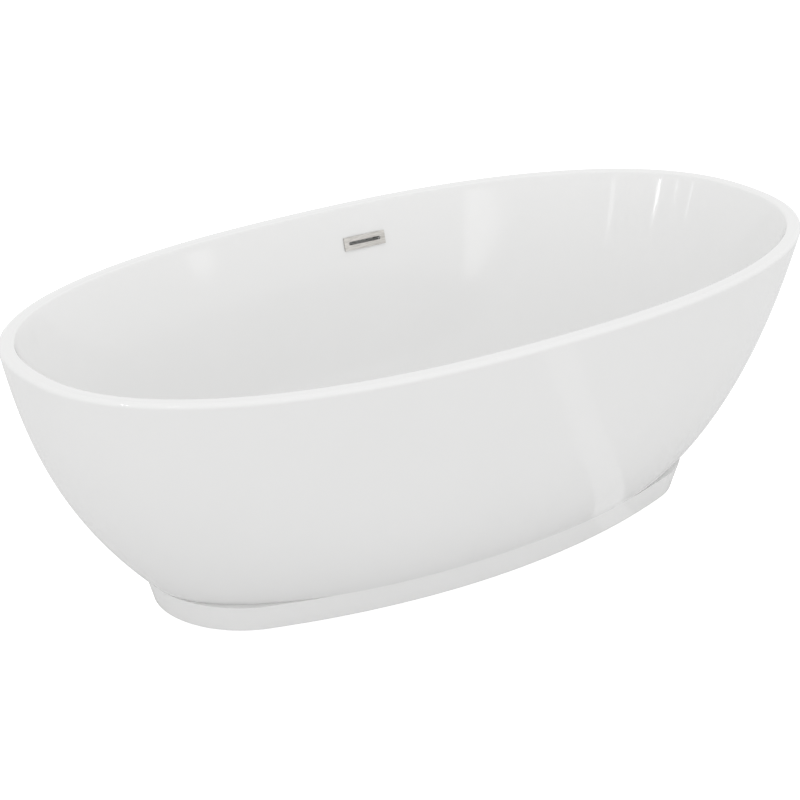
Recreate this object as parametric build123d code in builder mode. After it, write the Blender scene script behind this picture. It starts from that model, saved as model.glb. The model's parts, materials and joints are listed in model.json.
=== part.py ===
from build123d import *
import os
from math import cos, pi, sin, sqrt

# Freestanding double-ended bath, millimetres.
# Origin: centre of the footprint, on the floor.  +X along the bath, +Y to the overflow wall, +Z up.

# ---------------------------------------------------------------- overall
bath_length = 1700.0
bath_width = 868.0
bath_height = 540.0
plinth_height = 55.0
floor_gap = 1.0            # the plinth hangs this far above the floor
basin_floor = 120.0        # top of the basin's floor
outline_steps = 36         # points in one oval outline

# ---------------------------------------------------------------- outer shell
shell_foot_half_length = 604.0
shell_foot_half_width = 261.0
shell_foot_fullness = 2.1
rim_fullness = 2.31
end_straight = 0.369       # share of the end wall that rises as a straight line
end_power = 2.54
side_straight = 0.697      # share of the side wall that rises as a straight line
side_power = 6.0
shell_wall = 4.0
shell_levels = 8

# ---------------------------------------------------------------- rim and basin
rim_width = 28.0
rim_lip = 14.0             # depth of the turned-down edge
rim_wall = 6.0
rim_outer_round = 8.0
rim_inner_round = 5.0
basin_side_wall = 4.0
basin_floor_wall = 6.0
basin_floor_half_length = 500.0
basin_floor_half_width = 200.0
basin_floor_fullness = 2.2
basin_rim_fullness = 2.33
basin_end_straight = 0.5
basin_end_power = 2.5
basin_side_straight = 0.60
basin_side_power = 4.0
basin_levels = 12
level_crowding = 1.4       # above 1, the levels are closer together near the floor

# ---------------------------------------------------------------- plinth
plinth_end_radius = 191.0
plinth_taper = 16.0        # the bottom outline is this much smaller all round
plinth_wall = 4.0
plinth_flange_width = 36.0
plinth_flange_thickness = 4.0

# ---------------------------------------------------------------- waste and overflow places
waste_x = 131.0
overflow_x = 131.0
overflow_z = 467.0

# ---------------------------------------------------------------- overflow set
plate_length = 97.0
plate_height = 27.0
plate_thickness = 2.0
plate_round = 1.0
slot_length = 75.0
slot_height = 7.0
front_gasket = 1.5
gasket_margin = 1.5        # the gasket stays this far inside the plate
gasket_slot_growth = 3.0
wall_slot_length = 74.0
wall_slot_height = 14.0
stud_spacing = 89.0
stud_diameter = 4.0
stud_length = 16.0
stud_clearance = 0.2
rear_seal = 2.0
body_flange_length = 108.0
body_flange_height = 40.0
body_flange_thickness = 3.0
body_flange_round = 8.0
chamber_length = 78.0
chamber_height = 34.0
chamber_depth = 15.0
chamber_wall = 2.5
small_nut_flats = 7.0
small_nut_height = 3.2

# ---------------------------------------------------------------- overflow hose
hose_diameter = 20.0
hose_wall = 2.0
spigot_clearance = 0.1
spigot_bore = 11.0
spigot_length = 24.0
hose_start_gap = 4.0
hose_start_run = 60.0      # straight along the spigot before the first bend
hose_line_depth = 11.5     # from the basin's outside to the hose's centre line
hose_inlet_z = 82.0
hose_inlet_reach = 33.0    # the inlet spigot's length from the waste body
hose_end_gap = 11.0
hose_levels = (300.0, 220.0, 152.0)
hose_sweep_in = 76.0       # the last corner, in from the one above it
clip_width = 9.0
clip_thickness = 1.2
clip_inset = 8.0
clip_screw_length = 13.0
clip_screw_width = 7.0

# ---------------------------------------------------------------- waste set
drain_hole_radius = 26.0
drain_recess_radius = 36.0
drain_recess_depth = 2.0
flange_radius = 35.0
flange_thickness = 3.0
flange_round = 1.2
seal_inner_radius = 23.0
seal_outer_radius = 34.0
upper_seal_thickness = 1.0
lower_seal_thickness = 4.0
throat_radius = 22.0
throat_bore = 19.0
throat_bottom = 92.0
thread_clearance = 0.1
waste_collar_radius = 36.0
waste_collar_thickness = 6.0
waste_body_radius = 27.0
waste_body_bottom = 72.0
tail_radius = 24.0
tail_bore = 20.0
tail_bottom = 14.0

# ---------------------------------------------------------------- plug
plug_radius = 31.0
plug_thickness = 5.5
plug_round = 2.0
plug_seal_radius = 26.0
plug_seal_section = 1.5
plug_travel = 10.0
stem_radius = 4.0
stem_head_radius = 6.5
stem_head_height = 4.0
stem_clearance = 0.06
guide_radius = 9.0
guide_bore_radius = 7.0
guide_top = 115.0
guide_bottom = 84.0
guide_wall = 2.0
guide_arm_width = 3.0
guide_arm_height = 6.0
guide_arms = 3
spring_radius = 5.2
spring_wire = 1.0
spring_gap = 0.3
spring_turns = 5

# ---------------------------------------------------------------- trap and outlet
trap_radius = 52.0
trap_wall = 3.0
trap_bottom = 6.0
trap_top = 56.0
trap_round = 6.0
weir_radius = 37.0
weir_wall = 2.5
weir_top = 44.0
trap_collar_radius = 31.0
trap_collar_bore = 27.5
trap_collar_top = 68.0
trap_seal_height = 4.0
nut_lip = 3.0
trap_nut_radius = 36.0
trap_nut_height = 12.0
nut_ribs = 24
nut_rib_radius = 1.2
outlet_z = 34.0
outlet_radius = 20.0
outlet_wall = 2.5
outlet_socket_radius = 24.0
outlet_socket_end = 78.0   # from the trap's axis
outlet_clearance = 0.2
outlet_seal_length = 5.0
outlet_nut_radius = 29.0
outlet_nut_length = 16.0
outlet_pipe_end = 195.0    # from the trap's axis
outlet_spigot_length = 60.0
outlet_bead_radius = 21.5  # the bead that stops a coupling
outlet_bead_width = 3.0
plug_boss_radius = 15.0
plug_boss_end = 64.0
cleaning_plug_radius = 12.0
cleaning_plug_head = 4.0

# ---------------------------------------------------------------- frame
tube_width = 30.0
tube_height = 20.0
tube_wall = 2.0
tube_round = 3.0
rail_length = 860.0
rail_y = 150.0
end_cross_x = 400.0
mid_cross_x = -200.0
end_cap_thickness = 3.0
end_cap_depth = 10.0
board_thickness = 12.0
board_gap = 2.0
board_hole_radius = 44.0
bracket_x = 300.0
bracket_width = 40.0
bracket_thickness = 3.0
bracket_reach = 54.0
bracket_rise = 8.0         # the bracket's top is this far below the rail's top
bolt_radius = 2.5
bolt_head_radius = 4.8
bolt_head_height = 3.0
bolt_length = 9.0
flange_bolt_inset = 16.0   # from the bracket's outer end
bracket_bolt_spacing = 22.0

# ---------------------------------------------------------------- feet
rod_radius = 6.0
rod_top = 111.0
nut_clearance = 0.05
weld_nut_flats = 19.0
weld_nut_height = 10.0
lock_nut_height = 8.0
lock_nut_gap = 0.5
pad_radius = 22.0
pad_height = 12.0
pad_rim_height = 5.0
pad_hub_radius = 11.0
pad_recess_floor = 4.0
pad_round = 1.5
rod_hole_growth = 1.0

# ---------------------------------------------------------------- worked out
half_length = bath_length / 2
half_width = bath_width / 2
basin_underside = basin_floor - basin_floor_wall
frame_top = basin_underside
frame_bottom = frame_top - tube_height
frame_middle = (frame_top + frame_bottom) / 2
bracket_face = rail_y + tube_width / 2
bracket_bolt_y = bracket_face + bracket_reach - flange_bolt_inset
rail_bolt_points = [
    (side * bracket_x + step * bracket_bolt_spacing / 2, 0)
    for side in (-1, 1)
    for step in (-1, 1)
]
hose_radius = hose_diameter / 2
spigot_radius = hose_radius - hose_wall - spigot_clearance
foot_places = [
    (-end_cross_x, -rail_y),
    (-end_cross_x, rail_y),
    (end_cross_x, -rail_y),
    (end_cross_x, rail_y),
    (mid_cross_x, 0.0),
]

os.makedirs("parts", exist_ok=True)


def save(builder, name):
    """Label a finished piece and write it."""
    builder.part.label = name
    export_step(builder.part, f"parts/{name}.step")


# ================================================================ shapes shared by the shells
def shell_share(z):
    """0 at the top of the plinth, 1 where the rim is widest, just below its rounded edge."""
    return (z - plinth_height) / (bath_height - rim_outer_round - plinth_height)


def rise(share, straight, power):
    """How far a wall has spread from its foot (0) to the rim (1)."""
    left = max(0.0, 1 - share)
    return straight * share + (1 - straight) * (1 - left ** power)


def soft_rise(share, straight, power):
    """The same for the basin, whose wall leaves the floor with no crease."""
    left = max(0.0, 1 - share)
    return straight * share + (1 - straight) * sqrt(1 - left ** power)


def shell_size(z, inset=0.0):
    """Half length, half width and fullness of the outer shell at a height."""
    share = shell_share(z)
    spread_x = half_length - shell_foot_half_length
    spread_y = half_width - shell_foot_half_width
    x = shell_foot_half_length + spread_x * rise(share, end_straight, end_power)
    y = shell_foot_half_width + spread_y * rise(share, side_straight, side_power)
    fullness = shell_foot_fullness + (rim_fullness - shell_foot_fullness) * share
    return x - inset, y - inset, fullness


def cavity_size(z):
    """Half length, half width and fullness of the bathing space at a height."""
    share = (z - basin_floor) / (bath_height - basin_floor)
    spread_x = half_length - rim_width - basin_floor_half_length
    spread_y = half_width - rim_width - basin_floor_half_width
    x = basin_floor_half_length + spread_x * soft_rise(share, basin_end_straight, basin_end_power)
    y = basin_floor_half_width + spread_y * soft_rise(share, basin_side_straight, basin_side_power)
    fullness = basin_floor_fullness + (basin_rim_fullness - basin_floor_fullness) * share
    return x, y, fullness


def basin_outside_size(z):
    """The basin's outer face: the cavity moved down by the floor and out by the wall."""
    x, y, fullness = cavity_size(z + basin_floor_wall)
    return x + basin_side_wall, y + basin_side_wall, fullness


def oval_y(size, x):
    """Half width of a full oval at a place along the bath."""
    reach_x, reach_y, fullness = size
    return reach_y * (1 - abs(x / reach_x) ** fullness) ** (1 / fullness)


def oval_points(size):
    reach_x, reach_y, fullness = size
    points = []
    for step in range(outline_steps):
        angle = 2 * pi * step / outline_steps
        across = abs(cos(angle) / reach_x) ** fullness
        along = abs(sin(angle) / reach_y) ** fullness
        reach = (across + along) ** (-1 / fullness)
        points.append((reach * cos(angle), reach * sin(angle)))
    return points


def oval_section(z, size):
    """One level of a shell, for a loft."""
    with BuildSketch(Plane.XY.offset(z)) as section:
        with BuildLine():
            Spline(*oval_points(size), periodic=True)
        make_face()
    return section.sketch


def levels(low, high, count, crowding=1.0):
    """Heights from low to high, closer together near the foot."""
    return [low + (high - low) * (step / count) ** crowding for step in range(count + 1)]


# ================================================================ overflow place
def wall_plane():
    """Plane on the basin's inner face at the overflow: x along, y up the wall, z into the bath."""
    probe = 1.0
    size = cavity_size(overflow_z)
    y = oval_y(size, overflow_x)
    along = (oval_y(size, overflow_x + probe) - oval_y(size, overflow_x - probe)) / (2 * probe)
    above = oval_y(cavity_size(overflow_z + probe), overflow_x)
    below = oval_y(cavity_size(overflow_z - probe), overflow_x)
    upward = (above - below) / (2 * probe)
    return Plane(
        origin=(overflow_x, y, overflow_z),
        x_dir=(1, along, 0),
        z_dir=(along, -1, upward),
    )


def wall_depth(plane):
    """Thickness of the basin's wall at the overflow, square to the wall."""
    inner = oval_y(cavity_size(overflow_z), overflow_x)
    outer = oval_y(basin_outside_size(overflow_z), overflow_x)
    return (outer - inner) * abs(plane.z_dir.Y)


overflow_plane = wall_plane()
overflow_wall = wall_depth(overflow_plane)
body_face = -(overflow_wall + rear_seal)            # front of the rear body, along the plane's z
spigot_depth = -(overflow_wall + hose_line_depth)   # centre line of the hose spigot
chamber_bottom = -chamber_height / 2


def on_overflow(depth):
    return overflow_plane.offset(depth)


# ================================================================ inner basin
with BuildPart() as inner_basin:
    lip = (bath_height - rim_lip, bath_height)
    loft([oval_section(z, shell_size(z)) for z in lip])
    hollow = (bath_height - rim_lip, bath_height - rim_wall)
    loft([oval_section(z, shell_size(z, rim_wall)) for z in hollow], mode=Mode.SUBTRACT)
    outside = levels(basin_underside, bath_height - rim_wall / 2, basin_levels, level_crowding)
    loft([oval_section(z, basin_outside_size(z)) for z in outside])
    inside = levels(basin_floor, bath_height, basin_levels, level_crowding)
    loft([oval_section(z, cavity_size(z)) for z in inside], mode=Mode.SUBTRACT)
    rim_edges = inner_basin.edges().group_by(Axis.Z)[-1].sort_by(SortBy.LENGTH)
    fillet(rim_edges[-1], rim_outer_round)
    fillet(inner_basin.edges().group_by(Axis.Z)[-1].sort_by(SortBy.LENGTH)[0], rim_inner_round)
    with BuildSketch(Plane.XY.offset(basin_floor)):
        with Locations((waste_x, 0)):
            Circle(drain_recess_radius)
    extrude(amount=-drain_recess_depth, mode=Mode.SUBTRACT)
    with BuildSketch(Plane.XY.offset(basin_floor)):
        with Locations((waste_x, 0)):
            Circle(drain_hole_radius)
    extrude(amount=-2 * basin_floor_wall, mode=Mode.SUBTRACT)
    with BuildSketch(on_overflow(-2 * overflow_wall)):
        SlotOverall(wall_slot_length, wall_slot_height)
        with GridLocations(stud_spacing, 0, 2, 1):
            Circle(stud_diameter / 2 + stud_clearance)
    extrude(amount=4 * overflow_wall, mode=Mode.SUBTRACT)
save(inner_basin, "inner_basin")


# ================================================================ outer shell
with BuildPart() as outer_shell:
    heights = levels(plinth_height, bath_height - rim_lip, shell_levels)
    loft([oval_section(z, shell_size(z)) for z in heights])
    loft([oval_section(z, shell_size(z, shell_wall)) for z in heights], mode=Mode.SUBTRACT)
save(outer_shell, "outer_shell")


# ================================================================ plinth
def four_arc_oval(z, inset):
    """Oval of two end arcs and two long side arcs that meet as tangents."""
    length = shell_foot_half_length - inset
    width = shell_foot_half_width - inset
    end_radius = plinth_end_radius - inset
    end_x = length - end_radius
    side_radius = (end_x ** 2 + width ** 2 - end_radius ** 2) / (2 * (width - end_radius))
    side_y = width - side_radius
    to_end = sqrt(end_x ** 2 + side_y ** 2)
    meet_x = side_radius * end_x / to_end
    meet_y = side_y - side_radius * side_y / to_end
    with BuildSketch(Plane.XY.offset(z)) as section:
        with BuildLine():
            ThreePointArc((-meet_x, meet_y), (0, width), (meet_x, meet_y))
            ThreePointArc((meet_x, meet_y), (length, 0), (meet_x, -meet_y))
            ThreePointArc((meet_x, -meet_y), (0, -width), (-meet_x, -meet_y))
            ThreePointArc((-meet_x, -meet_y), (-length, 0), (-meet_x, meet_y))
        make_face()
    return section.sketch


with BuildPart() as plinth_ring:
    foot = floor_gap
    flange_under = plinth_height - plinth_flange_thickness
    outer = [four_arc_oval(foot, plinth_taper), four_arc_oval(plinth_height, 0)]
    loft(outer, ruled=True)
    taper_here = plinth_taper * plinth_flange_thickness / (plinth_height - floor_gap)
    hollow = [
        four_arc_oval(foot, plinth_taper + plinth_wall),
        four_arc_oval(flange_under, taper_here + plinth_wall),
    ]
    loft(hollow, ruled=True, mode=Mode.SUBTRACT)
    opening = [four_arc_oval(z, plinth_flange_width) for z in (flange_under, plinth_height)]
    loft(opening, ruled=True, mode=Mode.SUBTRACT)
    with BuildSketch(Plane.XY.offset(plinth_height)):
        with GridLocations(2 * bracket_x, 2 * bracket_bolt_y, 2, 2):
            Circle(bolt_radius)
    extrude(amount=-plinth_flange_thickness, mode=Mode.SUBTRACT)
save(plinth_ring, "plinth_ring")


# ================================================================ base boards
def board(left, right, hole):
    """Stiffening board bonded under the basin's floor, between two cross tubes."""
    reach_y = 2 * (rail_y - tube_width / 2 - board_gap)
    with BuildPart() as piece:
        with BuildSketch(Plane.XY.offset(frame_top)):
            with Locations(((left + right) / 2, 0)):
                Rectangle(right - left, reach_y)
            if hole:
                with Locations((waste_x, 0)):
                    Circle(board_hole_radius, mode=Mode.SUBTRACT)
        extrude(amount=-board_thickness)
    return piece


tube_side = tube_width / 2 + board_gap
save(board(-end_cross_x + tube_side, mid_cross_x - tube_side, False), "base_board_left")
save(board(mid_cross_x + tube_side, end_cross_x - tube_side, True), "base_board_right")


# ================================================================ frame tubes
def tube(center, length, along, foot_holes, bolt_face=None):
    """Rectangular steel tube with holes underneath for the threaded rods, and bolt holes in a face."""
    across = Plane(origin=center, x_dir=along.cross(Vector(0, 0, 1)), z_dir=along)
    with BuildPart() as piece:
        with BuildSketch(across.offset(-length / 2)):
            RectangleRounded(tube_width, tube_height, tube_round)
            Rectangle(tube_width - 2 * tube_wall, tube_height - 2 * tube_wall, mode=Mode.SUBTRACT)
        extrude(amount=length)
        if foot_holes:
            with BuildSketch(Plane.XY.offset(frame_bottom)):
                with Locations(*foot_holes):
                    Circle(rod_radius + rod_hole_growth)
            extrude(amount=tube_wall, mode=Mode.SUBTRACT)
        if bolt_face:
            with BuildSketch(bolt_face):
                with Locations(*rail_bolt_points):
                    Circle(bolt_radius)
            extrude(amount=-tube_wall, mode=Mode.SUBTRACT)
    return piece


def rail_face(side):
    """Outer face of a rail: x along the bath, looking out."""
    return Plane(
        origin=(0, side * bracket_face, frame_middle),
        x_dir=(1, 0, 0),
        z_dir=(0, side, 0),
    )


for side, name in ((-1, "frame_rail_front"), (1, "frame_rail_rear")):
    under = [place for place in foot_places if place[1] * side > 0]
    middle = (0, side * rail_y, frame_middle)
    save(tube(middle, rail_length, Vector(1, 0, 0), under, rail_face(side)), name)

cross_length = 2 * rail_y - tube_width
crosses = (
    (-end_cross_x, "frame_cross_left"),
    (mid_cross_x, "frame_cross_middle"),
    (end_cross_x, "frame_cross_right"),
)
for x, name in crosses:
    under = [place for place in foot_places if place == (x, 0.0)]
    save(tube((x, 0, frame_middle), cross_length, Vector(0, 1, 0), under), name)

with BuildPart() as rail_end_caps:
    for side in (-1, 1):
        face = Plane(origin=(side * rail_length / 2, 0, frame_middle), x_dir=(0, 1, 0), z_dir=(side, 0, 0))
        with BuildSketch(face):
            with GridLocations(2 * rail_y, 0, 2, 1):
                RectangleRounded(tube_width, tube_height, tube_round)
        extrude(amount=end_cap_thickness)
        with BuildSketch(face):
            with GridLocations(2 * rail_y, 0, 2, 1):
                Rectangle(tube_width - 2 * tube_wall, tube_height - 2 * tube_wall)
        extrude(amount=-end_cap_depth)
save(rail_end_caps, "rail_end_caps")

# ================================================================ plinth brackets
bracket_top = frame_top - bracket_rise
with BuildPart() as plinth_brackets:
    for side in (-1, 1):
        for x in (-bracket_x, bracket_x):
            profile = Plane(
                origin=(x, 0, 0),
                x_dir=(0, side, 0),
                z_dir=(side, 0, 0),
            )
            with BuildSketch(profile):
                with BuildLine():
                    Polyline(
                        (bracket_face, plinth_height),
                        (bracket_face + bracket_reach, plinth_height),
                        (bracket_face + bracket_reach, plinth_height + bracket_thickness),
                        (bracket_face + bracket_thickness, plinth_height + bracket_thickness),
                        (bracket_face + bracket_thickness, bracket_top),
                        (bracket_face, bracket_top),
                        close=True,
                    )
                make_face()
            extrude(amount=bracket_width / 2, both=True)
        with BuildSketch(rail_face(side)):
            with Locations(*rail_bolt_points):
                Circle(bolt_radius)
        extrude(amount=bracket_thickness, mode=Mode.SUBTRACT)
    with BuildSketch(Plane.XY.offset(plinth_height)):
        with GridLocations(2 * bracket_x, 2 * bracket_bolt_y, 2, 2):
            Circle(bolt_radius)
    extrude(amount=bracket_thickness, mode=Mode.SUBTRACT)
save(plinth_brackets, "plinth_brackets")

with BuildPart() as bracket_bolts:
    for side in (-1, 1):
        for radius, length in ((bolt_head_radius, bolt_head_height), (bolt_radius, -bolt_length)):
            with BuildSketch(rail_face(side).offset(bracket_thickness)):
                with Locations(*rail_bolt_points):
                    Circle(radius)
            extrude(amount=length)
    for radius, length in ((bolt_head_radius, bolt_head_height), (bolt_radius, -bolt_length)):
        with BuildSketch(Plane.XY.offset(plinth_height + bracket_thickness)):
            with GridLocations(2 * bracket_x, 2 * bracket_bolt_y, 2, 2):
                Circle(radius)
        extrude(amount=length)
save(bracket_bolts, "bracket_bolts")


# ================================================================ feet
def hex_nuts(top, height, flats):
    """One nut round each threaded rod."""
    with BuildPart() as nuts:
        with BuildSketch(Plane.XY.offset(top)):
            with Locations(*foot_places):
                RegularPolygon(flats / 2, 6, major_radius=False)
                Circle(rod_radius + nut_clearance, mode=Mode.SUBTRACT)
        extrude(amount=-height)
    return nuts


lock_nut_top = frame_bottom - weld_nut_height - lock_nut_gap
save(hex_nuts(frame_bottom, weld_nut_height, weld_nut_flats), "foot_weld_nuts")
save(hex_nuts(lock_nut_top, lock_nut_height, weld_nut_flats), "foot_lock_nuts")


def foot_rod(place):
    with BuildPart() as rod:
        with BuildSketch(Plane.XY.offset(pad_recess_floor)):
            with Locations(place):
                Circle(rod_radius)
        extrude(amount=rod_top - pad_recess_floor)
        chamfer(rod.edges().sort_by(Axis.Z)[-1], 1)
    return rod


def foot_pad(place):
    with BuildPart() as pad:
        for radius, height in ((pad_radius, pad_rim_height), (pad_hub_radius, pad_height)):
            with BuildSketch():
                with Locations(place):
                    Circle(radius)
            extrude(amount=height)
        round_edges = pad.edges().filter_by(GeomType.CIRCLE).group_by(Axis.Z)
        fillet(round_edges[-1], pad_round)
        with BuildSketch(Plane.XY.offset(pad_recess_floor)):
            with Locations(place):
                Circle(rod_radius + nut_clearance)
        extrude(amount=pad_height, mode=Mode.SUBTRACT)
    return pad


for number, place in enumerate(foot_places, 1):
    save(foot_rod(place), f"foot_rod_{number}")
    save(foot_pad(place), f"foot_pad_{number}")

# ================================================================ overflow set
with BuildPart() as overflow_plate:
    with BuildSketch(on_overflow(front_gasket)):
        RectangleRounded(plate_length, plate_height, plate_round)
        SlotOverall(slot_length, slot_height, mode=Mode.SUBTRACT)
    extrude(amount=plate_thickness)
    with BuildSketch(on_overflow(front_gasket)):
        with GridLocations(stud_spacing, 0, 2, 1):
            Circle(stud_diameter / 2)
    extrude(amount=-stud_length)
save(overflow_plate, "overflow_plate")


def seal_outline(length, height, corner):
    """A flat seal with the wall's slot and the two stud holes cut out."""
    RectangleRounded(length, height, corner)
    slot_growth = gasket_slot_growth
    SlotOverall(wall_slot_length + slot_growth, wall_slot_height + slot_growth, mode=Mode.SUBTRACT)
    with GridLocations(stud_spacing, 0, 2, 1):
        Circle(stud_diameter / 2 + stud_clearance, mode=Mode.SUBTRACT)


with BuildPart() as overflow_gasket:
    with BuildSketch(on_overflow(front_gasket)):
        seal_outline(plate_length - 2 * gasket_margin, plate_height - 2 * gasket_margin, plate_round)
    extrude(amount=-(front_gasket + overflow_wall / 2))
    add(inner_basin.part, mode=Mode.SUBTRACT)
save(overflow_gasket, "overflow_gasket")

with BuildPart() as overflow_rear_seal:
    with BuildSketch(on_overflow(body_face)):
        seal_outline(body_flange_length, body_flange_height, body_flange_round)
    extrude(amount=rear_seal + overflow_wall / 2)
    add(inner_basin.part, mode=Mode.SUBTRACT)
save(overflow_rear_seal, "overflow_rear_seal")

down_wall = -overflow_plane.y_dir
spigot_plane = Plane(
    origin=overflow_plane.from_local_coords((0, chamber_bottom, spigot_depth)),
    x_dir=overflow_plane.x_dir,
    z_dir=down_wall,
)
with BuildPart() as overflow_body:
    with BuildSketch(on_overflow(body_face)):
        RectangleRounded(body_flange_length, body_flange_height, body_flange_round)
    extrude(amount=-body_flange_thickness)
    with BuildSketch(on_overflow(body_face)):
        RectangleRounded(chamber_length, chamber_height, chamber_wall)
    extrude(amount=-(body_flange_thickness + chamber_depth))
    with BuildSketch(spigot_plane):
        Circle(spigot_radius)
    extrude(amount=spigot_length)
    with BuildSketch(on_overflow(body_face)):
        Rectangle(chamber_length - 2 * chamber_wall, chamber_height - 2 * chamber_wall)
    extrude(amount=-(body_flange_thickness + chamber_depth - chamber_wall), mode=Mode.SUBTRACT)
    with BuildSketch(spigot_plane.offset(-2 * chamber_wall)):
        Circle(spigot_bore / 2)
    extrude(amount=spigot_length + 2 * chamber_wall, mode=Mode.SUBTRACT)
    with BuildSketch(on_overflow(body_face)):
        with GridLocations(stud_spacing, 0, 2, 1):
            Circle(stud_diameter / 2 + stud_clearance)
    extrude(amount=-body_flange_thickness, mode=Mode.SUBTRACT)
save(overflow_body, "overflow_body")

with BuildPart() as overflow_nuts:
    with BuildSketch(on_overflow(body_face - body_flange_thickness)):
        with GridLocations(stud_spacing, 0, 2, 1):
            RegularPolygon(small_nut_flats / 2, 6, major_radius=False)
            Circle(stud_diameter / 2, mode=Mode.SUBTRACT)
    extrude(amount=-small_nut_height)
save(overflow_nuts, "overflow_nuts")

# ================================================================ overflow hose
inlet_start = waste_body_radius
inlet_end = inlet_start + hose_inlet_reach
hose_end_y = inlet_start + hose_end_gap


def between_walls(z):
    """Middle of the space between the basin and the outer shell, beside the overflow."""
    basin_y = oval_y(basin_outside_size(z), overflow_x)
    shell_y = oval_y(shell_size(z, shell_wall), overflow_x)
    return (basin_y + shell_y) / 2


hose_start = spigot_plane.offset(hose_start_gap).origin
hose_first_bend = spigot_plane.offset(hose_start_gap + hose_start_run).origin
under_y = between_walls(hose_levels[-1]) - hose_sweep_in
hose_points = [tuple(hose_start), tuple(hose_first_bend)]
hose_points += [(overflow_x, between_walls(z), z) for z in hose_levels]
hose_points += [(waste_x, under_y, hose_inlet_z), (waste_x, hose_end_y, hose_inlet_z)]


def corner_radii(points):
    """The largest arc that two runs leave room for at each corner."""
    radii = []
    for before, corner, after in zip(points, points[1:], points[2:]):
        arriving = Vector(*corner) - Vector(*before)
        leaving = Vector(*after) - Vector(*corner)
        turn = arriving.get_angle(leaving) * pi / 180
        shorter = min(arriving.length, leaving.length)
        radii.append(0.45 * shorter * (1 + cos(turn)) / sin(turn))
    return radii


hose_radii = corner_radii(hose_points)
print("hose corner radii", [round(radius) for radius in hose_radii])
with BuildPart() as overflow_hose:
    with BuildLine() as hose_route:
        FilletPolyline(*hose_points, radius=hose_radii)
    with BuildSketch(Plane(origin=hose_start, z_dir=hose_route.wires()[0] % 0)):
        Circle(hose_radius)
        Circle(hose_radius - hose_wall, mode=Mode.SUBTRACT)
    sweep()
hose_section = pi * (hose_radius ** 2 - (hose_radius - hose_wall) ** 2)
hose_length = hose_route.wires()[0].length
hose_share = overflow_hose.part.volume / hose_section / hose_length
print("hose length", round(hose_length), "volume share", round(hose_share, 4))
save(overflow_hose, "overflow_hose")

clip_planes = [
    spigot_plane.offset(hose_start_gap + clip_inset),
    Plane(origin=(waste_x, hose_end_y + clip_inset, hose_inlet_z), x_dir=(1, 0, 0), z_dir=(0, 1, 0)),
]
with BuildPart() as hose_clips:
    for plane in clip_planes:
        with BuildSketch(plane.offset(-clip_width / 2)):
            Circle(hose_radius + clip_thickness)
            with Locations((hose_radius + clip_screw_width / 2, 0)):
                Rectangle(clip_screw_width, clip_screw_length)
            Circle(hose_radius, mode=Mode.SUBTRACT)
        extrude(amount=clip_width)
save(hose_clips, "hose_clips")


# ================================================================ waste set
def ring(low, high, outer_radius, inner_radius=0.0, center_x=waste_x):
    """Add an upright ring or disc to the open part."""
    with BuildPart(mode=Mode.PRIVATE) as piece:
        with BuildSketch(Plane.XY.offset(low)):
            with Locations((center_x, 0)):
                Circle(outer_radius)
                if inner_radius:
                    Circle(inner_radius, mode=Mode.SUBTRACT)
        extrude(amount=high - low)
    return piece.part


recess_floor = basin_floor - drain_recess_depth
flange_under_side = recess_floor + upper_seal_thickness
flange_top = flange_under_side + flange_thickness
collar_top = basin_underside - lower_seal_thickness
collar_bottom = collar_top - waste_collar_thickness

with BuildPart() as waste_flange:
    add(ring(flange_under_side, flange_top, flange_radius, throat_bore))
    add(ring(throat_bottom, flange_under_side, throat_radius, throat_bore))
    top_edges = waste_flange.edges().filter_by(GeomType.CIRCLE).group_by(Axis.Z)[-1]
    fillet(top_edges, flange_round)
save(waste_flange, "waste_flange")

with BuildPart() as waste_upper_seal:
    add(ring(recess_floor, flange_under_side, seal_outer_radius, seal_inner_radius))
save(waste_upper_seal, "waste_upper_seal")

with BuildPart() as waste_lower_seal:
    add(ring(collar_top, basin_underside, seal_outer_radius, seal_inner_radius))
save(waste_lower_seal, "waste_lower_seal")

inlet_plane = Plane(origin=(waste_x, 0, hose_inlet_z), x_dir=(1, 0, 0), z_dir=(0, 1, 0))
with BuildPart() as waste_body:
    add(ring(collar_bottom, collar_top, waste_collar_radius))
    add(ring(waste_body_bottom, collar_bottom, waste_body_radius))
    add(ring(tail_bottom, waste_body_bottom, tail_radius))
    with BuildSketch(inlet_plane):
        Circle(spigot_radius)
    extrude(amount=inlet_end)
    bore_bottom = waste_body_bottom + waste_body_radius - tail_radius
    add(ring(bore_bottom, collar_top, throat_radius + thread_clearance), mode=Mode.SUBTRACT)
    add(ring(tail_bottom, bore_bottom, tail_bore), mode=Mode.SUBTRACT)
    with BuildSketch(inlet_plane):
        Circle(spigot_bore / 2)
    extrude(amount=inlet_end, mode=Mode.SUBTRACT)
save(waste_body, "waste_body")

# ================================================================ plug
cap_bottom = flange_top + plug_seal_section
cap_top = cap_bottom + plug_thickness
head_top = guide_top - guide_wall - plug_travel - spring_gap
head_bottom = head_top - stem_head_height

with BuildPart() as plug_cap:
    add(ring(cap_bottom, cap_top, plug_radius))
    fillet(plug_cap.edges().group_by(Axis.Z)[-1], plug_round)
save(plug_cap, "plug_cap")

with BuildPart() as plug_seal:
    ring_half = plug_seal_section
    add(ring(flange_top, cap_bottom, plug_seal_radius + ring_half, plug_seal_radius - ring_half))
save(plug_seal, "plug_seal")

with BuildPart() as plug_stem:
    add(ring(head_top, cap_bottom, stem_radius))
    add(ring(head_bottom, head_top, stem_head_radius))
save(plug_stem, "plug_stem")

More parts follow.
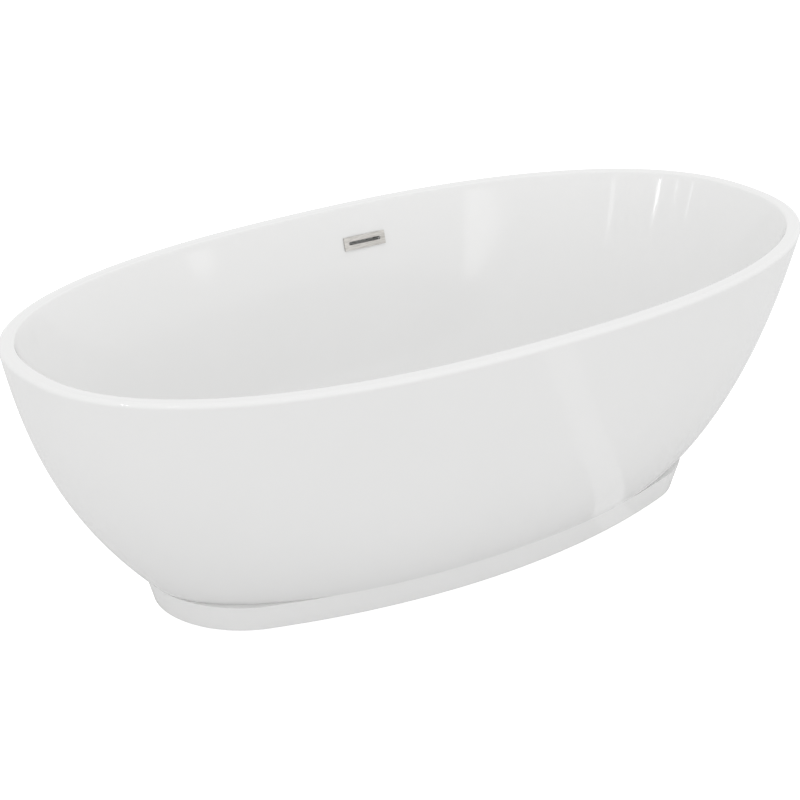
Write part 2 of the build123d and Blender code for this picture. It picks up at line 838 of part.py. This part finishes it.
with BuildPart() as plug_guide:
    add(ring(guide_bottom, guide_top, guide_radius))
    with BuildSketch(Plane.XY.offset(throat_bottom)):
        with Locations((waste_x, 0)):
            with PolarLocations(0, guide_arms):
                Rectangle(throat_bore, guide_arm_width, align=(Align.MIN, Align.CENTER))
            Circle(throat_bore, mode=Mode.INTERSECT)
    extrude(amount=guide_arm_height)
    guide_ring_bore = throat_bore - guide_wall
    add(ring(throat_bottom, throat_bottom + guide_arm_height, throat_bore, guide_ring_bore))
    bore_top = guide_top - guide_wall
    add(ring(guide_bottom + guide_wall, bore_top, guide_bore_radius), mode=Mode.SUBTRACT)
    add(ring(bore_top, guide_top, stem_radius + stem_clearance), mode=Mode.SUBTRACT)
save(plug_guide, "plug_guide")

spring_low = guide_bottom + guide_wall + spring_wire / 2 + spring_gap
spring_high = head_bottom - spring_wire / 2 - spring_gap
with BuildPart() as plug_spring:
    spring_rise = spring_high - spring_low
    with BuildLine() as coil:
        Helix(spring_rise / spring_turns, spring_rise, spring_radius, center=(waste_x, 0, spring_low))
    with BuildSketch(Plane(origin=coil.wires()[0] @ 0, z_dir=coil.wires()[0] % 0)):
        Circle(spring_wire / 2)
    sweep(is_frenet=True)
save(plug_spring, "plug_spring")

# ================================================================ trap


def out_of_trap(direction, start):
    """Plane across a pipe that leaves the trap along X, at a distance from its axis."""
    return Plane(
        origin=(waste_x + direction * start, 0, outlet_z),
        x_dir=(0, 1, 0),
        z_dir=(direction, 0, 0),
    )


def side_ring(direction, start, end, outer_radius, inner_radius=0.0):
    with BuildPart(mode=Mode.PRIVATE) as piece:
        with BuildSketch(out_of_trap(direction, start)):
            Circle(outer_radius)
            if inner_radius:
                Circle(inner_radius, mode=Mode.SUBTRACT)
        extrude(amount=end - start)
    return piece.part


trap_inside = trap_radius - trap_wall
pipe_start = outlet_socket_end - outlet_nut_length
with BuildPart() as trap_body:
    add(ring(trap_bottom, trap_top, trap_radius))
    fillet(trap_body.edges().group_by(Axis.Z)[0], trap_round)
    fillet(trap_body.edges().group_by(Axis.Z)[-1], trap_wall)
    add(ring(trap_top - trap_wall, trap_collar_top, trap_collar_radius))
    add(side_ring(-1, weir_radius, outlet_socket_end, outlet_socket_radius))
    add(side_ring(1, weir_radius, plug_boss_end, plug_boss_radius))
    add(ring(trap_bottom + trap_wall, trap_top - trap_wall, trap_inside), mode=Mode.SUBTRACT)
    add(ring(trap_top - trap_wall, trap_collar_top, trap_collar_bore), mode=Mode.SUBTRACT)
    add(side_ring(-1, weir_radius, pipe_start, outlet_radius - outlet_wall), mode=Mode.SUBTRACT)
    socket_bore = outlet_radius + outlet_clearance
    add(side_ring(-1, pipe_start, outlet_socket_end, socket_bore), mode=Mode.SUBTRACT)
    add(side_ring(1, weir_radius, plug_boss_end, cleaning_plug_radius), mode=Mode.SUBTRACT)
    add(ring(trap_bottom + trap_wall, weir_top, weir_radius, weir_radius - weir_wall))
save(trap_body, "trap_body")

with BuildPart() as trap_seal:
    seal_bottom = trap_collar_top - trap_seal_height
    add(ring(seal_bottom, trap_collar_top, trap_collar_bore, tail_radius))
save(trap_seal, "trap_seal")

nut_top = trap_collar_top + nut_lip
nut_bottom = nut_top - trap_nut_height
with BuildPart() as trap_nut:
    add(ring(nut_bottom, nut_top, trap_nut_radius))
    with BuildSketch(Plane.XY.offset(nut_bottom)):
        with Locations((waste_x, 0)):
            with PolarLocations(trap_nut_radius, nut_ribs):
                Circle(nut_rib_radius)
    extrude(amount=trap_nut_height)
    nut_bore = trap_collar_radius + thread_clearance
    add(ring(nut_bottom, trap_collar_top, nut_bore), mode=Mode.SUBTRACT)
    add(ring(trap_collar_top, nut_top, tail_radius + thread_clearance), mode=Mode.SUBTRACT)
save(trap_nut, "trap_nut")

with BuildPart() as trap_cleaning_plug:
    add(side_ring(1, trap_radius, plug_boss_end, cleaning_plug_radius))
    add(side_ring(1, plug_boss_end, plug_boss_end + cleaning_plug_head, plug_boss_radius))
save(trap_cleaning_plug, "trap_cleaning_plug")

seal_end = outlet_socket_end + outlet_seal_length
with BuildPart() as outlet_seal:
    add(side_ring(-1, outlet_socket_end, seal_end, outlet_socket_radius, outlet_radius))
save(outlet_seal, "outlet_seal")

nut_end = seal_end + nut_lip
with BuildPart() as outlet_nut:
    nut_start = nut_end - outlet_nut_length
    add(side_ring(-1, nut_start, nut_end, outlet_nut_radius))
    with BuildSketch(out_of_trap(-1, nut_start)):
        with PolarLocations(outlet_nut_radius, nut_ribs):
            Circle(nut_rib_radius)
    extrude(amount=outlet_nut_length)
    socket_clear = outlet_socket_radius + thread_clearance
    add(side_ring(-1, nut_start, seal_end, socket_clear), mode=Mode.SUBTRACT)
    pipe_clear = outlet_radius + thread_clearance
    add(side_ring(-1, seal_end, nut_end, pipe_clear), mode=Mode.SUBTRACT)
save(outlet_nut, "outlet_nut")

with BuildPart() as outlet_pipe:
    pipe_bore = outlet_radius - outlet_wall
    add(side_ring(-1, pipe_start, outlet_pipe_end, outlet_radius, pipe_bore))
    bead_end = outlet_pipe_end - outlet_spigot_length
    add(side_ring(-1, bead_end - outlet_bead_width, bead_end, outlet_bead_radius, pipe_bore))
save(outlet_pipe, "outlet_pipe")
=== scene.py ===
import json
import math

import bmesh
import bpy
from mathutils import Matrix, Vector


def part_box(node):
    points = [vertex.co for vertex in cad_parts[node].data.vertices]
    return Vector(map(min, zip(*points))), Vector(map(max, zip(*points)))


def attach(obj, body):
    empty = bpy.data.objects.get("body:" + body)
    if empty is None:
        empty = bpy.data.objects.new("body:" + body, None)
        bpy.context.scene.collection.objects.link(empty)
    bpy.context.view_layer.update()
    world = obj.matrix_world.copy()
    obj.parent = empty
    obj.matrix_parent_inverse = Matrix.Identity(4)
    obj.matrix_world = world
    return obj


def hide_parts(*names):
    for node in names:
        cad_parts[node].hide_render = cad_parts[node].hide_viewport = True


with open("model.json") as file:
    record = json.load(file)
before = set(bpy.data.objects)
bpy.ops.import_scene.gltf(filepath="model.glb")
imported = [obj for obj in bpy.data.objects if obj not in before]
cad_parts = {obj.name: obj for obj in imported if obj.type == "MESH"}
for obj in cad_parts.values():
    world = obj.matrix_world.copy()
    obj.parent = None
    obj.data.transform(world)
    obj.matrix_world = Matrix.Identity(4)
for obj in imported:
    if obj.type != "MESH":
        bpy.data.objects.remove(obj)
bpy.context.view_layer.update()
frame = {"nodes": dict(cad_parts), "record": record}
nodes = frame["nodes"]

# Freestanding bath, metres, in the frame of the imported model:
# +X along the bath, +Y to the overflow wall, +Z up, the floor at zero.

MM = 0.001
basin_low, basin_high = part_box("inner_basin")
flange_low, flange_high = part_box("waste_flange")

# ---------------------------------------------------------------- sizes
RIM_TOP = basin_high.z
BASIN_UNDERSIDE = basin_low.z
FLOOR_WALL = 6 * MM
BASIN_FLOOR = BASIN_UNDERSIDE + FLOOR_WALL
PLINTH_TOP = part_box("plinth_ring")[1].z
LIP_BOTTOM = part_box("outer_shell")[1].z
RIM_ROUND = 8 * MM
RIM_INNER_ROUND = 5 * MM
WALL_LEAN = 0.33                          # radians off upright, where the basin meets the rim
RIM_WIDTH = 28 * MM
RIM_WALL = 6 * MM
BASIN_SIDE_WALL = 4 * MM
SHELL_WALL = 4 * MM
HALF_LENGTH = min(basin_high.x, -basin_low.x)
HALF_WIDTH = min(basin_high.y, -basin_low.y)
SHELL_FOOT = (604 * MM, 261 * MM, 2.1)    # half length, half width, fullness of the oval
RIM_FULLNESS = 2.31
SHELL_END = (0.369, 2.54)                 # straight share and power of the wall's curve
SHELL_SIDE = (0.697, 6.0)
CAVITY_FLOOR = (500 * MM, 200 * MM, 2.2)
CAVITY_RIM_FULLNESS = 2.33
CAVITY_END = (0.5, 2.5)
CAVITY_SIDE = (0.60, 4.0)
WASTE_X = (flange_low.x + flange_high.x) / 2
RECESS_RADIUS = 36 * MM
RECESS_DEPTH = 2 * MM
DRAIN_RADIUS = 26 * MM
OVERFLOW_X = WASTE_X
OVERFLOW_Z = 467 * MM
WALL_SLOT = (74 * MM, 14 * MM)
STUD_SPACING = 89 * MM
STUD_HOLE_RADIUS = 2.2 * MM
OUTLINE_STEPS = 480                       # points round one oval
WALL_STEPS = 64                           # levels up the basin's wall
SHELL_STEPS = 80                          # levels up the outer shell
LEVEL_CROWDING = 1.7                      # above 1, the levels are closer together near the floor


# ---------------------------------------------------------------- the bath's form
def rise(share, straight, power):
    """How far the outer wall has spread from its foot (0) to the rim (1)."""
    left = max(0.0, 1 - share)
    return straight * share + (1 - straight) * (1 - left**power)


def soft_rise(share, straight, power):
    """The same for the basin, whose wall leaves the floor with no crease."""
    left = max(0.0, 1 - share)
    return straight * share + (1 - straight) * math.sqrt(max(0.0, 1 - left**power))


def shell_size(z, inset=0.0):
    """Half length, half width and fullness of the outer shell at a height."""
    share = (z - PLINTH_TOP) / (RIM_TOP - RIM_ROUND - PLINTH_TOP)
    x, y, fullness = SHELL_FOOT
    x += (HALF_LENGTH - x) * rise(share, *SHELL_END)
    y += (HALF_WIDTH - y) * rise(share, *SHELL_SIDE)
    return x - inset, y - inset, fullness + (RIM_FULLNESS - fullness) * share


def cavity_size(z):
    """The same for the bathing space."""
    share = max(0.0, (z - BASIN_FLOOR) / (RIM_TOP - BASIN_FLOOR))
    x, y, fullness = CAVITY_FLOOR
    x += (HALF_LENGTH - RIM_WIDTH - x) * soft_rise(share, *CAVITY_END)
    y += (HALF_WIDTH - RIM_WIDTH - y) * soft_rise(share, *CAVITY_SIDE)
    return x, y, fullness + (CAVITY_RIM_FULLNESS - fullness) * share


def basin_outside_size(z):
    """The basin's outer face: the cavity moved down by the floor and out by the wall."""
    x, y, fullness = cavity_size(z + FLOOR_WALL)
    return x + BASIN_SIDE_WALL, y + BASIN_SIDE_WALL, fullness


def grown(size, amount):
    return size[0] + amount, size[1] + amount, size[2]


def oval_ring(size, z, steps=OUTLINE_STEPS):
    """One level of a full oval, as points at even angles."""
    reach_x, reach_y, fullness = size
    ring = []
    for step in range(steps):
        angle = 2 * math.pi * step / steps
        c, s = math.cos(angle), math.sin(angle)
        total = abs(c / reach_x) ** fullness + abs(s / reach_y) ** fullness
        reach = total ** (-1 / fullness)
        ring.append(Vector((reach * c, reach * s, z)))
    return ring


def circle_ring(radius, z, x=WASTE_X, steps=OUTLINE_STEPS):
    turn = 2 * math.pi / steps
    return [
        Vector((x + radius * math.cos(turn * step), radius * math.sin(turn * step), z))
        for step in range(steps)
    ]


def between(ring_a, ring_b, share):
    return [a.lerp(b, share) for a, b in zip(ring_a, ring_b)]


def oval_y(size, x):
    """Half width of a full oval at a place along the bath."""
    reach_x, reach_y, fullness = size
    return reach_y * (1 - abs(x / reach_x) ** fullness) ** (1 / fullness)


def overflow_axes():
    """The overflow's place on the wall: middle, along the wall, up the wall, into the bath."""
    probe = MM
    size = cavity_size(OVERFLOW_Z)
    y = oval_y(size, OVERFLOW_X)
    along = (oval_y(size, OVERFLOW_X + probe) - oval_y(size, OVERFLOW_X - probe)) / (2 * probe)
    above = oval_y(cavity_size(OVERFLOW_Z + probe), OVERFLOW_X)
    below = oval_y(cavity_size(OVERFLOW_Z - probe), OVERFLOW_X)
    inward = Vector((along, -1, (above - below) / (2 * probe))).normalized()
    sideways = Vector((1, along, 0)).normalized()
    return Vector((OVERFLOW_X, y, OVERFLOW_Z)), sideways, inward.cross(sideways), inward


# ---------------------------------------------------------------- meshes
def raw_object(name, verts, faces):
    mesh = bpy.data.meshes.new(name)
    mesh.from_pydata([tuple(v) for v in verts], [], faces)
    mesh.validate()
    work = bmesh.new()
    work.from_mesh(mesh)
    bmesh.ops.recalc_face_normals(work, faces=work.faces)
    work.to_mesh(mesh)
    work.free()
    piece = bpy.data.objects.new(name, mesh)
    bpy.context.scene.collection.objects.link(piece)
    return piece


def loops_object(name, rings, closed=True):
    """A skin over a chain of equal rings. A closed chain has no ends, and an open one gets caps."""
    steps = len(rings[0])
    verts = [point for ring in rings for point in ring]
    faces = []
    count = len(rings)
    for level in range(count if closed else count - 1):
        low, high = level * steps, (level + 1) % count * steps
        for step in range(steps):
            after = (step + 1) % steps
            faces.append((low + step, low + after, high + after, high + step))
    if not closed:
        faces.append(tuple(range(steps)))
        faces.append(tuple((count - 1) * steps + step for step in reversed(range(steps))))
    return raw_object(name, verts, faces)


def cut(piece, cutter):
    """Take one closed mesh out of another, for good."""
    tool = piece.modifiers.new("cut", "BOOLEAN")
    tool.operation = "DIFFERENCE"
    tool.solver = "EXACT"
    tool.object = cutter
    graph = bpy.context.evaluated_depsgraph_get()
    solid = bpy.data.meshes.new_from_object(piece.evaluated_get(graph))
    piece.modifiers.clear()
    piece.data = solid
    bpy.data.objects.remove(cutter)


def smooth(piece, degrees=35):
    mesh = piece.data
    mesh.shade_smooth()
    mesh.set_sharp_from_angle(angle=math.radians(degrees))


def rounded(count, radius, lean=0.0):
    """A rounded edge as (across, up) steps, from a wall that leans by an angle to the flat top."""
    steps = []
    for step in range(1, count + 1):
        angle = lean + (math.pi / 2 - lean) * step / count
        across = radius * (math.cos(lean) - math.cos(angle))
        steps.append((across, radius * (math.sin(angle) - math.sin(lean))))
    return steps


# ================================================================ basin
def crowded(steps):
    """Shares from 0 to 1, closer together near 0."""
    return [(step / steps) ** LEVEL_CROWDING for step in range(steps + 1)]


def basin_rings():
    """Level by level: up the inside, over the rim, down the outside, and back through the drain."""
    rings = []
    wall_top = RIM_TOP - RIM_INNER_ROUND * (1 - math.sin(WALL_LEAN))
    for share in crowded(WALL_STEPS):
        z = BASIN_FLOOR + (wall_top - BASIN_FLOOR) * share
        rings.append(oval_ring(cavity_size(z), z))
    edge = cavity_size(wall_top)
    for across, up in rounded(8, RIM_INNER_ROUND, WALL_LEAN):
        rings.append(oval_ring(grown(edge, across), wall_top + up))
    outer_top = grown(shell_size(RIM_TOP - RIM_ROUND), -RIM_ROUND)
    inner_top = grown(edge, RIM_INNER_ROUND * math.cos(WALL_LEAN))
    inner_ring, outer_ring = (oval_ring(size, RIM_TOP) for size in (inner_top, outer_top))
    for share in (0.08, 0.35, 0.65, 0.92):
        rings.append(between(inner_ring, outer_ring, share))
    rings.append(outer_ring)
    side = shell_size(RIM_TOP - RIM_ROUND)
    for across, up in reversed(rounded(8, RIM_ROUND)[:-1]):
        rings.append(oval_ring(grown(side, -across), RIM_TOP - RIM_ROUND + up))
    for share in (0, 0.5, 1):
        z = RIM_TOP - RIM_ROUND + share * (LIP_BOTTOM - RIM_TOP + RIM_ROUND)
        rings.append(oval_ring(shell_size(z), z))
    rings.append(oval_ring(shell_size(LIP_BOTTOM, RIM_WALL), LIP_BOTTOM))
    under = RIM_TOP - RIM_WALL
    rings.append(oval_ring(shell_size(under, RIM_WALL), under))
    for share in reversed(crowded(WALL_STEPS // 2)):
        z = BASIN_UNDERSIDE + (under - BASIN_UNDERSIDE) * share
        rings.append(oval_ring(basin_outside_size(z), z))
    underside = rings[-1]
    hole = circle_ring(DRAIN_RADIUS, BASIN_UNDERSIDE)
    rings += [between(underside, hole, share) for share in (0.3, 0.6, 0.85, 1)]
    recess = BASIN_FLOOR - RECESS_DEPTH
    rings.append(circle_ring(DRAIN_RADIUS, recess))
    rings.append(circle_ring(RECESS_RADIUS - RECESS_DEPTH, recess))
    recess_edge = circle_ring(RECESS_RADIUS, BASIN_FLOOR)
    rings.append(recess_edge)
    rings += [between(recess_edge, rings[0], share) for share in (0.02, 0.1, 0.3, 0.55, 0.8)]
    return rings


def stadium(length, height, steps=24):
    """A slot's outline, as points across and up."""
    radius = height / 2
    centre = length / 2 - radius
    outline = []
    for side in (1, -1):
        for step in range(steps + 1):
            angle = side * math.pi / 2 - math.pi * step / steps
            outline.append((side * centre + radius * math.cos(angle), radius * math.sin(angle)))
    return outline


def wall_prism(name, outline, shift=0.0):
    """A cutter through the basin's wall at the overflow."""
    middle, sideways, upwards, inward = overflow_axes()
    depth = 4 * BASIN_SIDE_WALL
    rings = []
    for way in (-depth, depth):
        rings.append([
            middle + sideways * (across + shift) + upwards * up + inward * way
            for across, up in outline
        ])
    return loops_object(name, rings, closed=False)


def circle_outline(radius, steps=24):
    turn = 2 * math.pi / steps
    return [(radius * math.cos(turn * step), radius * math.sin(turn * step)) for step in range(steps)]


def make_basin():
    """The basin with its rim, drain hole and the overflow's slot and two stud holes."""
    piece = loops_object("basin", basin_rings())
    cut(piece, wall_prism("slot_cutter", stadium(*WALL_SLOT)))
    for side in (-1, 1):
        hole = circle_outline(STUD_HOLE_RADIUS)
        cut(piece, wall_prism("stud_cutter", hole, side * STUD_SPACING / 2))
    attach(piece, "tub")
    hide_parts("inner_basin")
    smooth(piece)
    return piece


# ================================================================ outer shell
def make_shell():
    step_height = (LIP_BOTTOM - PLINTH_TOP) / SHELL_STEPS
    heights = [PLINTH_TOP + step_height * step for step in range(SHELL_STEPS + 1)]
    rings = [oval_ring(shell_size(z), z) for z in heights]
    rings += [oval_ring(shell_size(z, SHELL_WALL), z) for z in reversed(heights)]
    piece = loops_object("shell", rings)
    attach(piece, "tub")
    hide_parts("outer_shell")
    smooth(piece)
    return piece


# ================================================================ materials
class Look:
    """A procedural material: a shader and the nodes that vary it, in metres on the object."""

    def __init__(self, name, **sockets):
        self.material = bpy.data.materials.new(name)
        self.material.use_nodes = True
        self.tree = self.material.node_tree
        self.shader = self.tree.nodes["Principled BSDF"]
        for socket, value in sockets.items():
            self.shader.inputs[socket.replace("_", " ")].default_value = value
        self.place = self.tree.nodes.new("ShaderNodeTexCoord").outputs["Object"]

    def stretched(self, scale):
        mapping = self.tree.nodes.new("ShaderNodeMapping")
        mapping.inputs["Scale"].default_value = scale
        self.tree.links.new(self.place, mapping.inputs["Vector"])
        return mapping.outputs["Vector"]

    def noise(self, scale, detail=3.0, place=None):
        node = self.tree.nodes.new("ShaderNodeTexNoise")
        node.inputs["Scale"].default_value = scale
        node.inputs["Detail"].default_value = detail
        self.tree.links.new(place or self.place, node.inputs["Vector"])
        return node.outputs["Fac"]

    def chips(self, scale):
        node = self.tree.nodes.new("ShaderNodeTexVoronoi")
        node.inputs["Scale"].default_value = scale
        self.tree.links.new(self.place, node.inputs["Vector"])
        return node.outputs["Color"]

    def color(self, factor, dark, light, low=0.3, high=0.7):
        ramp = self.tree.nodes.new("ShaderNodeValToRGB")
        ramp.color_ramp.elements[0].position = low
        ramp.color_ramp.elements[1].position = high
        ramp.color_ramp.elements[0].color = (*dark, 1)
        ramp.color_ramp.elements[1].color = (*light, 1)
        self.tree.links.new(factor, ramp.inputs["Fac"])
        self.tree.links.new(ramp.outputs["Color"], self.shader.inputs["Base Color"])

    def roughness(self, factor, low, high):
        spread = self.tree.nodes.new("ShaderNodeMapRange")
        spread.inputs["To Min"].default_value = low
        spread.inputs["To Max"].default_value = high
        self.tree.links.new(factor, spread.inputs["Value"])
        self.tree.links.new(spread.outputs["Result"], self.shader.inputs["Roughness"])

    def bump(self, factor, height, strength=1.0):
        node = self.tree.nodes.new("ShaderNodeBump")
        node.inputs["Distance"].default_value = height
        node.inputs["Strength"].default_value = strength
        self.tree.links.new(factor, node.inputs["Height"])
        self.tree.links.new(node.outputs["Normal"], self.shader.inputs["Normal"])


def acrylic_look():
    look = Look("white_acrylic", IOR=1.49)
    cloud = look.noise(3.0, 2.0)
    look.color(cloud, ACRYLIC_DARK, ACRYLIC_LIGHT)
    look.roughness(look.noise(9.0, 4.0), 0.05, 0.09)
    look.bump(look.noise(60.0, 1.0), 0.00003, 0.5)
    return look.material


def brushed_look(name, dark, light, low=0.26, high=0.42):
    look = Look(name, Metallic=1.0, Anisotropic=0.4)
    grain = look.noise(900.0, 2.0, look.stretched((0.03, 1, 1)))
    look.color(grain, dark, light)
    look.roughness(grain, low, high)
    look.bump(grain, 0.00004, 0.6)
    return look.material


def chrome_look():
    look = Look("chrome", Metallic=1.0)
    smear = look.noise(45.0, 4.0)
    look.color(smear, (0.80, 0.80, 0.82), (0.86, 0.86, 0.87))
    look.roughness(smear, 0.04, 0.11)
    return look.material


def zinc_look():
    look = Look("zinc", Metallic=1.0)
    spangle = look.noise(70.0, 5.0)
    look.color(spangle, (0.48, 0.50, 0.52), (0.66, 0.68, 0.70))
    look.roughness(spangle, 0.32, 0.5)
    look.bump(look.noise(400.0), 0.00005, 0.4)
    return look.material


def board_look():
    look = Look("particle_board", Roughness=0.75)
    flakes = look.chips(260.0)
    look.color(flakes, (0.38, 0.26, 0.15), (0.68, 0.53, 0.35), 0.1, 0.9)
    look.bump(look.noise(500.0), 0.0002, 0.6)
    return look.material


def moulded_look(name, dark, light, low, high, grain=1400.0):
    """Moulded plastic or rubber with a fine spark-eroded grain."""
    look = Look(name)
    look.color(look.noise(30.0), dark, light)
    look.roughness(look.noise(120.0), low, high)
    look.bump(look.noise(grain, 1.0), 0.00006, 0.5)
    return look.material


def brass_look():
    look = Look("brass", Metallic=1.0)
    turned = look.noise(700.0, 2.0, look.stretched((0.05, 0.05, 1)))
    look.color(turned, (0.62, 0.46, 0.22), (0.76, 0.60, 0.33))
    look.roughness(turned, 0.22, 0.36)
    look.bump(turned, 0.00003, 0.5)
    return look.material


ACRYLIC_DARK = (0.836, 0.836, 0.832)
ACRYLIC_LIGHT = (0.844, 0.844, 0.840)

LOOKS = {
    "acrylic": acrylic_look(),
    "steel_plate": brushed_look("brushed_steel", (0.42, 0.405, 0.38), (0.72, 0.70, 0.67)),
    "chrome": chrome_look(),
    "zinc_steel": zinc_look(),
    "board": board_look(),
    "white_pp": moulded_look("white_plastic", (0.80, 0.80, 0.79), (0.86, 0.86, 0.85), 0.4, 0.52),
    "grey_pp": moulded_look("grey_plastic", (0.20, 0.21, 0.22), (0.25, 0.26, 0.27), 0.42, 0.55),
    "black_cap": moulded_look("black_plastic", (0.012, 0.012, 0.013), (0.02, 0.02, 0.022), 0.4, 0.55),
    "rubber": moulded_look("rubber", (0.016, 0.016, 0.016), (0.026, 0.026, 0.027), 0.7, 0.85, 900.0),
    "brass": brass_look(),
    "spring_steel": brushed_look("spring_steel", (0.46, 0.46, 0.47), (0.6, 0.6, 0.61), 0.2, 0.32),
}


REPLACED = ("inner_basin", "outer_shell")


def dress(piece, slot):
    piece.data.materials.clear()
    piece.data.materials.append(LOOKS[slot])


dress(make_basin(), "acrylic")
dress(make_shell(), "acrylic")
for subpart in frame["record"]["subparts"]:
    if subpart["node"] not in REPLACED:
        dress(nodes[subpart["node"]], subpart["material_slot"])


# ================================================================ stage
def make_floor(reach=30.0):
    """A pale sheet, overexposed as the paper under a product shot is."""
    mesh = bpy.data.meshes.new("floor")
    corners = [(-reach, -reach, 0), (reach, -reach, 0), (reach, reach, 0), (-reach, reach, 0)]
    mesh.from_pydata(corners, [], [(0, 1, 2, 3)])
    floor = bpy.data.objects.new("floor", mesh)
    bpy.context.scene.collection.objects.link(floor)
    look = Look("paper", Roughness=0.9, Emission_Color=(1, 1, 1, 1))
    look.color(look.noise(2.0), (0.63, 0.63, 0.63), (0.65, 0.65, 0.65))
    seen = look.tree.nodes.new("ShaderNodeLightPath").outputs["Is Camera Ray"]
    glow = look.tree.nodes.new("ShaderNodeMath")
    glow.operation = "MULTIPLY_ADD"
    glow.inputs[1].default_value = FLOOR_GLOW
    glow.inputs[2].default_value = FLOOR_LIGHT
    look.tree.links.new(seen, glow.inputs[0])
    look.tree.links.new(glow.outputs["Value"], look.shader.inputs["Emission Strength"])
    mesh.materials.append(look.material)


def make_sky():
    """Soft white light from all round, a little stronger low down and from the front."""
    world = bpy.data.worlds.new("studio")
    bpy.context.scene.world = world
    world.use_nodes = True
    tree = world.node_tree
    place = tree.nodes.new("ShaderNodeTexCoord").outputs["Generated"]
    split = tree.nodes.new("ShaderNodeSeparateXYZ")
    tree.links.new(place, split.inputs["Vector"])
    total = None
    for axis, share in zip("XYZ", SKY_SLOPE):
        node = tree.nodes.new("ShaderNodeMath")
        node.operation = "MULTIPLY_ADD"
        node.inputs[1].default_value = share
        node.inputs[2].default_value = SKY_LEVEL
        tree.links.new(split.outputs[axis], node.inputs[0])
        if total:
            tree.links.new(total, node.inputs[2])
        total = node.outputs["Value"]
    background = tree.nodes["Background"]
    background.inputs["Color"].default_value = (1, 1, 1, 1)
    tree.links.new(total, background.inputs["Strength"])


def make_softbox(name, place, size, power, target):
    """A light box that only shows as a reflection on the gloss."""
    lamp = bpy.data.lights.new(name, "AREA")
    lamp.shape = "RECTANGLE"
    lamp.size, lamp.size_y = size
    lamp.energy = power
    box = bpy.data.objects.new(name, lamp)
    bpy.context.scene.collection.objects.link(box)
    away = Vector(target) - Vector(place)
    box.matrix_world = Matrix.Translation(place) @ away.to_track_quat("-Z", "Y").to_matrix().to_4x4()
    box.visible_camera = False
    box.visible_diffuse = False
    return box


FLOOR_GLOW = 0.60                   # what only the camera sees, which keeps the paper white
FLOOR_LIGHT = 0.14                  # what the paper gives to the bath
STRIP_PLACE = Vector((0.392, -0.56, 0.004))
STRIP_TURN = Matrix.Rotation(math.radians(11), 4, "Z") @ Matrix.Rotation(math.pi, 4, "X")
SKY_LEVEL = 1.09
SKY_SLOPE = (-0.05, -0.12, -0.12)   # how the sky's strength changes along X, Y and Z

make_floor()
make_sky()
for name, place, size, power, target in (
    ("window_wide", (1.52, -7.35, 2.25), (1.55, 0.50), 3.0, (0.44, 0.35, 0.49)),
    ("window_small", (1.71, -1.83, 0.91), (0.12, 0.08), 0.04, (-0.26, 0.38, 0.49)),
    ("strip_front", (-0.75, -2.13, 1.50), (0.10, 0.25), 0.16, (0.67, 0.24, 0.48)),
    ("strip_left", (-1.64, -1.20, 1.58), (0.09, 0.25), 1.1, (0.75, 0.18, 0.50)),
    ("strip_far_left", (-1.90, -0.57, 1.54), (0.06, 0.22), 0.9, (0.76, 0.15, 0.48)),
    ("strip_end", (-1.97, 0.08, 1.52), (0.05, 0.25), 0.16, (0.79, 0.13, 0.52)),
):
    make_softbox(name, place, size, power, target)
floor_strip = make_softbox("floor_strip", STRIP_PLACE, (0.10, 0.80), 0.065, STRIP_PLACE + Vector((0, 0, 1)))
floor_strip.matrix_world = Matrix.Translation(STRIP_PLACE) @ STRIP_TURN
bpy.context.scene.view_settings.view_transform = "Standard"

# ================================================================ camera
CAMERA_ANGLES = (-35.817, 22.949, -0.312)   # azimuth, elevation and roll, in degrees
CAMERA_AIM = Vector((0, 0, 0.3))
CAMERA_OFFSET = (4.864, -0.0389, -0.0195)   # back, right and up from what it aims at

azimuth, elevation, roll = (math.radians(angle) for angle in CAMERA_ANGLES)
back = Vector((
    math.sin(azimuth) * math.cos(elevation),
    -math.cos(azimuth) * math.cos(elevation),
    math.sin(elevation),
))
right = Vector((math.cos(azimuth), math.sin(azimuth), 0))
up = back.cross(right)
camera_data = bpy.data.cameras.new("camera")
camera = bpy.data.objects.new("camera", camera_data)
bpy.context.scene.collection.objects.link(camera)
camera_data.sensor_width = 36
camera_data.lens = 113.94
camera_data.shift_x = -0.0041
camera_data.shift_y = -0.0007
camera_data.clip_end = 100
camera_place = CAMERA_AIM.copy()
for direction, distance in zip((back, right, up), CAMERA_OFFSET):
    camera_place += direction * distance
turn = Matrix((right, up, back)).transposed() @ Matrix.Rotation(roll, 3, "Z")
camera.matrix_world = Matrix.Translation(camera_place) @ turn.to_4x4()
bpy.context.scene.camera = camera
